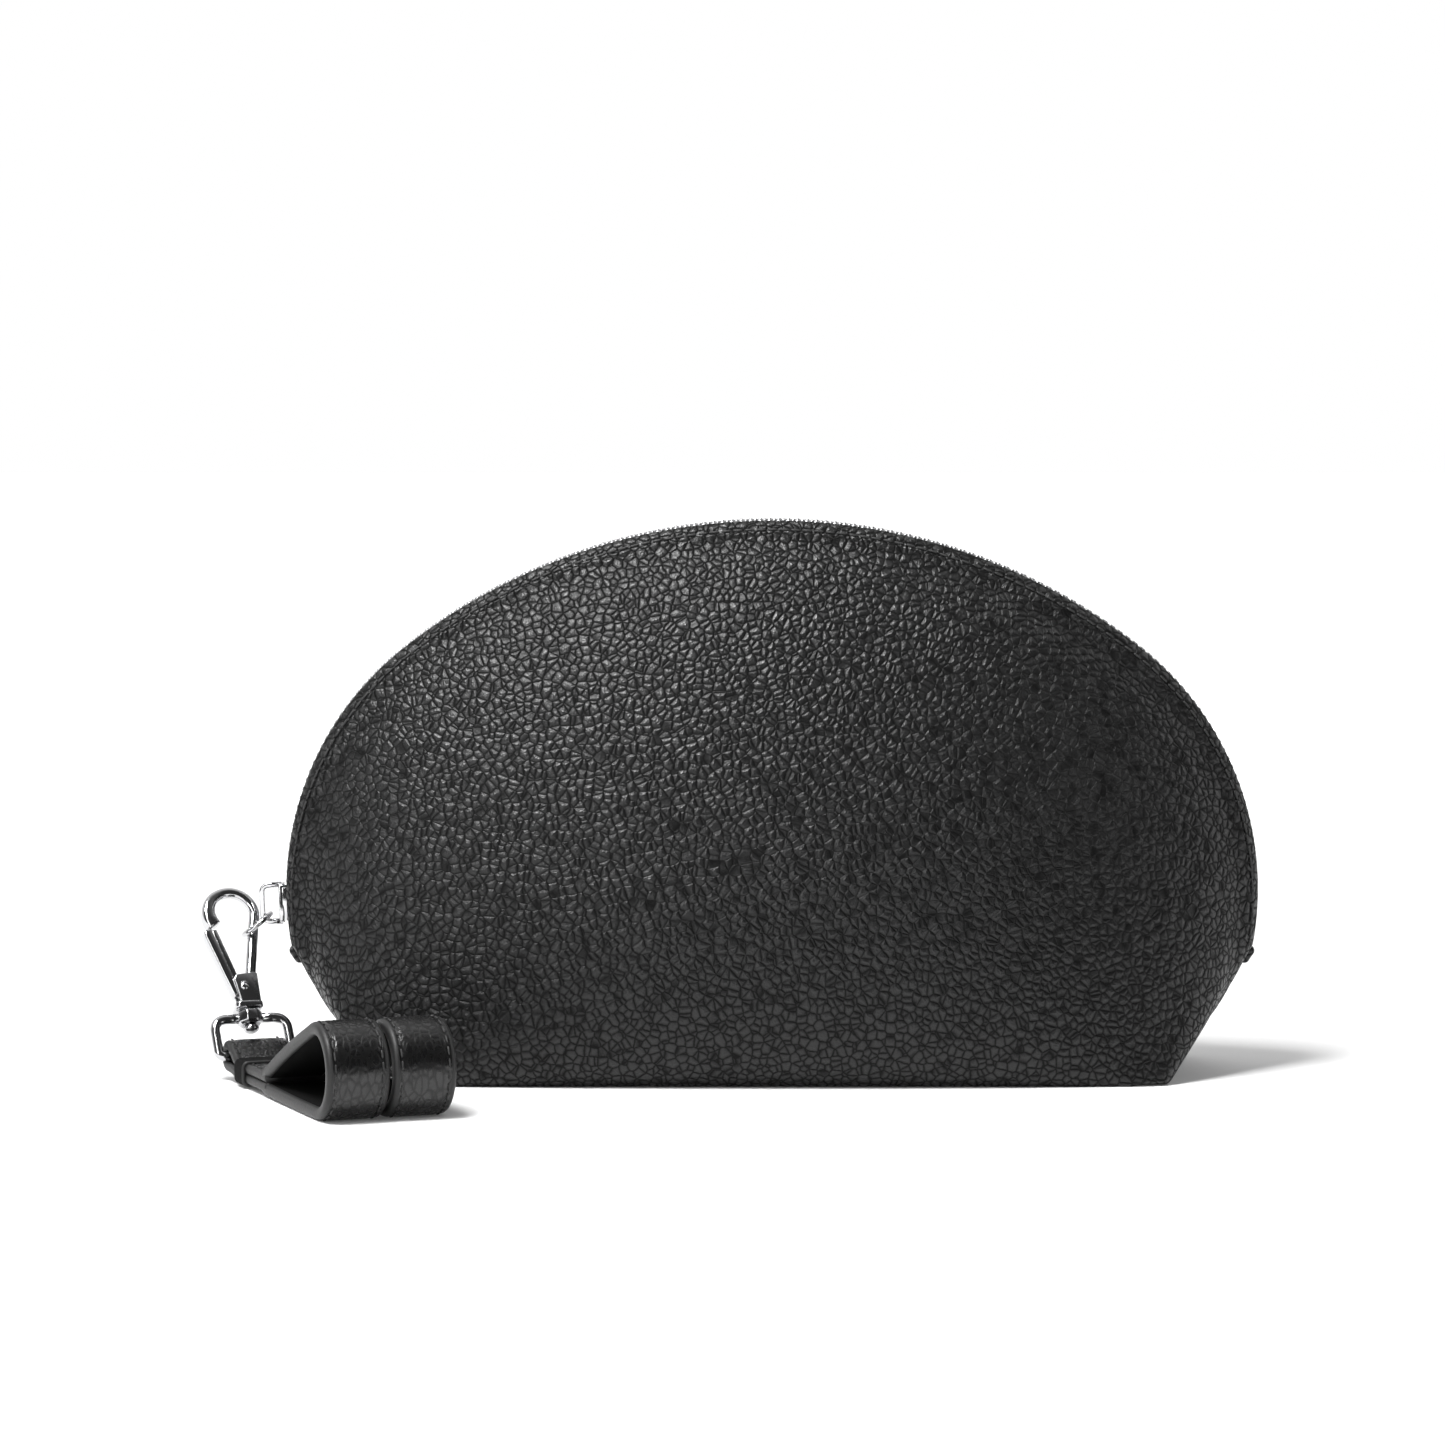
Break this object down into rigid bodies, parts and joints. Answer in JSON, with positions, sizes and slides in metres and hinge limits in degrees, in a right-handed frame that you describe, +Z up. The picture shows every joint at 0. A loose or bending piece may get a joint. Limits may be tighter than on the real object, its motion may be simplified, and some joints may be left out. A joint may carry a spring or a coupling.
{
  "type": "zip pouch with clip-on wrist loop",
  "caption": "Half-moon black leather zip pouch that stands on a flat boxed base, with a metal zip, a swivel clip and a leather wrist loop.",
  "frame": {"origin": "centre of the flat base's underside, on the surface the pouch stands on", "axes": "+Z up; +X along the pouch to its right-hand end as seen from the front; -Y towards the front, so the zip's arch lies in the plane Y = 0"},
  "size_m": [0.2389, 0.128, 0.125],
  "materials": {
    "black_leather": "pebbled grain, semi-matt",
    "chrome_metal": "polished nickel plate",
    "black_cloth": "plain weave, matt",
    "base_board": "pressed board"
  },
  "bodies": {
    "back_half": {"back_panel": "black_leather", "base_leather": "black_leather", "left_gusset": "black_leather", "right_gusset": "black_leather", "base_board": "base_board", "back_lining": "black_cloth", "base_lining": "black_cloth", "back_tape": "black_cloth", "back_teeth": "chrome_metal", "left_zip_tab": "black_leather", "right_zip_tab": "black_leather", "zip_stops": "chrome_metal"},
    "front_half": {"front_panel": "black_leather", "front_lining": "black_cloth", "front_tape": "black_cloth", "front_teeth": "chrome_metal"},
    "slider": {"slider_body": "chrome_metal", "slider_bridge": "chrome_metal"},
    "ring": {"jump_ring": "chrome_metal"},
    "hook": {"hook_body": "chrome_metal", "gate_pin": "chrome_metal", "gate_spring": "chrome_metal", "swivel_stud": "chrome_metal"},
    "gate": {"hook_gate": "chrome_metal"},
    "dee": {"d_ring": "chrome_metal"},
    "strap": {"strap_tab": "black_leather", "near_loop": "black_leather", "far_loop": "black_leather", "strap_keeper": "black_leather"}
  },
  "joints": [
    {"name": "mouth", "type": "hinge", "parent": "back_half", "child": "front_half", "pos_m": [0, -0.02925, 0.00075], "axis": [1, 0, 0], "range_deg": [0, 10], "deforming": ["front_tape", "front_teeth"]},
    {"name": "slider_travel", "type": "hinge", "parent": "back_half", "child": "slider", "pos_m": [-0.03972, 0, 0.041], "axis": [0, 1, 0], "range_deg": [0, 50]},
    {"name": "ring_swing", "type": "hinge", "parent": "slider", "child": "ring", "pos_m": [-0.11362, 0, 0.03527], "axis": [0, 1, 0], "range_deg": [-10, 0]},
    {"name": "hook_swing", "type": "hinge", "parent": "ring", "child": "hook", "pos_m": [-0.11673, 0, 0.03275], "axis": [-0.6293, 0, 0.7771], "range_deg": [0, 12]},
    {"name": "gate_press", "type": "hinge", "parent": "hook", "child": "gate", "pos_m": [-0.11922, -0.00969, 0.01926], "axis": [-0.3177, 0.7863, -0.5299], "range_deg": [0, 22], "stiffness_Nm_per_rad": 0.01, "springref_deg": -17.19},
    {"name": "dee_swivel", "type": "hinge", "parent": "hook", "child": "dee", "pos_m": [-0.11738, -0.01317, 0.01298], "axis": [-0.1985, 0.4913, 0.848], "range_deg": [-40, 0]},
    {"name": "strap_lift", "type": "hinge", "parent": "dee", "child": "strap", "pos_m": [-0.11562, -0.01752, 0.00547], "axis": [0.9272, 0.3746, 0], "range_deg": [-40, 0]}
  ]
}
